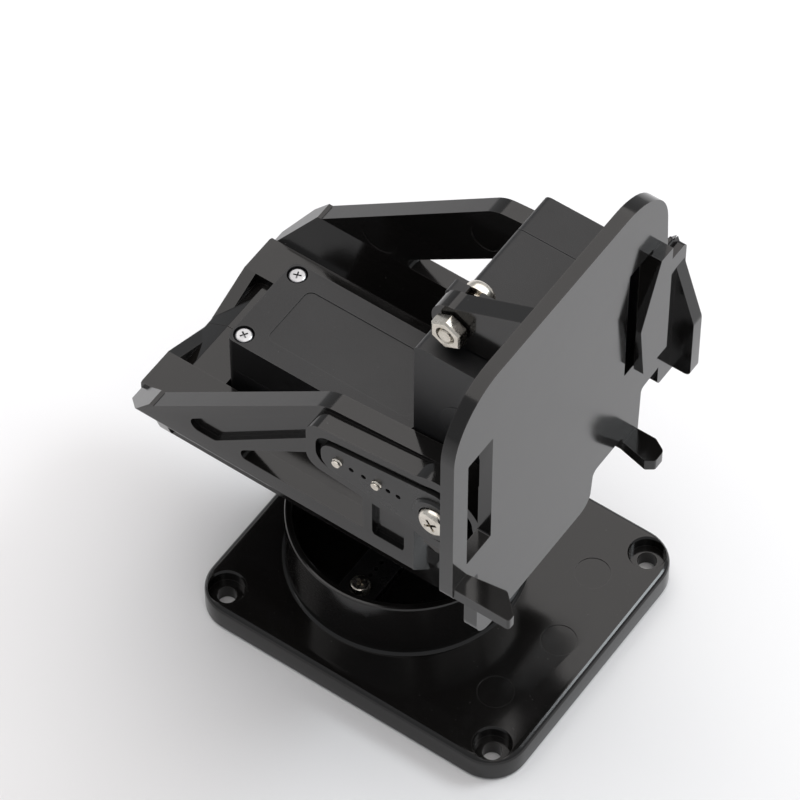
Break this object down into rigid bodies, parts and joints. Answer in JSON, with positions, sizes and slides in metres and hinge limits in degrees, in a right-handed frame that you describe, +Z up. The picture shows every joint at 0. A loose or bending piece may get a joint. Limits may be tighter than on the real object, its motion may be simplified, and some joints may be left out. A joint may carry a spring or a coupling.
{
  "type": "pan tilt camera mount",
  "caption": "Motorised pan and tilt camera mount: a slotted camera plate on a tilt servo between forked arms that a pan servo turns above a screw-down cup base.",
  "frame": {"origin": "centre of the base plate's underside, on the surface it is screwed to", "axes": "+Z up out of the base, -Y the way the camera looks, X along the tilt axis with the servo horn arm at -X"},
  "size_m": [0.0722, 0.0916, 0.1247],
  "materials": {
    "black_nylon": "satin moulded nylon",
    "servo_case": "fine-textured black",
    "horn_plastic": "smooth black",
    "nickel": "nickel plated",
    "case_screw_steel": "zinc plated",
    "shaft_brass": "machined",
    "motor_steel": "drawn can",
    "pot_metal": "pressed can",
    "board": "solder-masked board",
    "gland_rubber": "moulded"
  },
  "bodies": {
    "base": {"base_plate": "black_nylon", "pan_horn": "horn_plastic", "pan_horn_screw_1": "nickel", "pan_horn_screw_2": "nickel", "pan_horn_screw_3": "nickel", "pan_horn_screw_4": "nickel", "pan_horn_centre_screw": "nickel", "pan_output_shaft": "shaft_brass"},
    "yoke": {"left_bracket": "black_nylon", "right_bracket": "black_nylon", "bracket_screw_rear": "nickel", "bracket_screw_front": "nickel", "tilt_horn": "horn_plastic", "tilt_horn_screw_1": "nickel", "tilt_horn_screw_2": "nickel", "tilt_horn_centre_screw": "nickel", "tilt_output_shaft": "shaft_brass", "pan_servo_gear_cover": "servo_case", "pan_servo_mid_case": "servo_case", "pan_servo_back_cover": "servo_case", "pan_servo_cable_gland": "gland_rubber", "pan_servo_motor": "motor_steel", "pan_servo_potentiometer": "pot_metal", "pan_servo_circuit_board": "board", "pan_servo_case_screw_1": "case_screw_steel", "pan_servo_case_screw_2": "case_screw_steel", "pan_servo_case_screw_3": "case_screw_steel", "pan_servo_case_screw_4": "case_screw_steel"},
    "head": {"camera_plate": "black_nylon", "tilt_ear_screw_upper": "nickel", "tilt_ear_nut_upper": "nickel", "tilt_ear_screw_lower": "nickel", "tilt_ear_nut_lower": "nickel", "pivot_screw": "nickel", "pivot_nut": "nickel", "tilt_servo_gear_cover": "servo_case", "tilt_servo_mid_case": "servo_case", "tilt_servo_back_cover": "servo_case", "tilt_servo_cable_gland": "gland_rubber", "tilt_servo_motor": "motor_steel", "tilt_servo_potentiometer": "pot_metal", "tilt_servo_circuit_board": "board", "tilt_servo_case_screw_1": "case_screw_steel", "tilt_servo_case_screw_2": "case_screw_steel", "tilt_servo_case_screw_3": "case_screw_steel", "tilt_servo_case_screw_4": "case_screw_steel"}
  },
  "joints": [
    {"name": "pan", "type": "hinge", "parent": "base", "child": "yoke", "pos_m": [0, 0.0066, 0.0195], "axis": [0, 0, 1], "range_deg": [-90, 90]},
    {"name": "tilt", "type": "hinge", "parent": "yoke", "child": "head", "pos_m": [0, -0.0201, 0.07345], "axis": [-1, 0, 0], "range_deg": [-45, 90]}
  ]
}
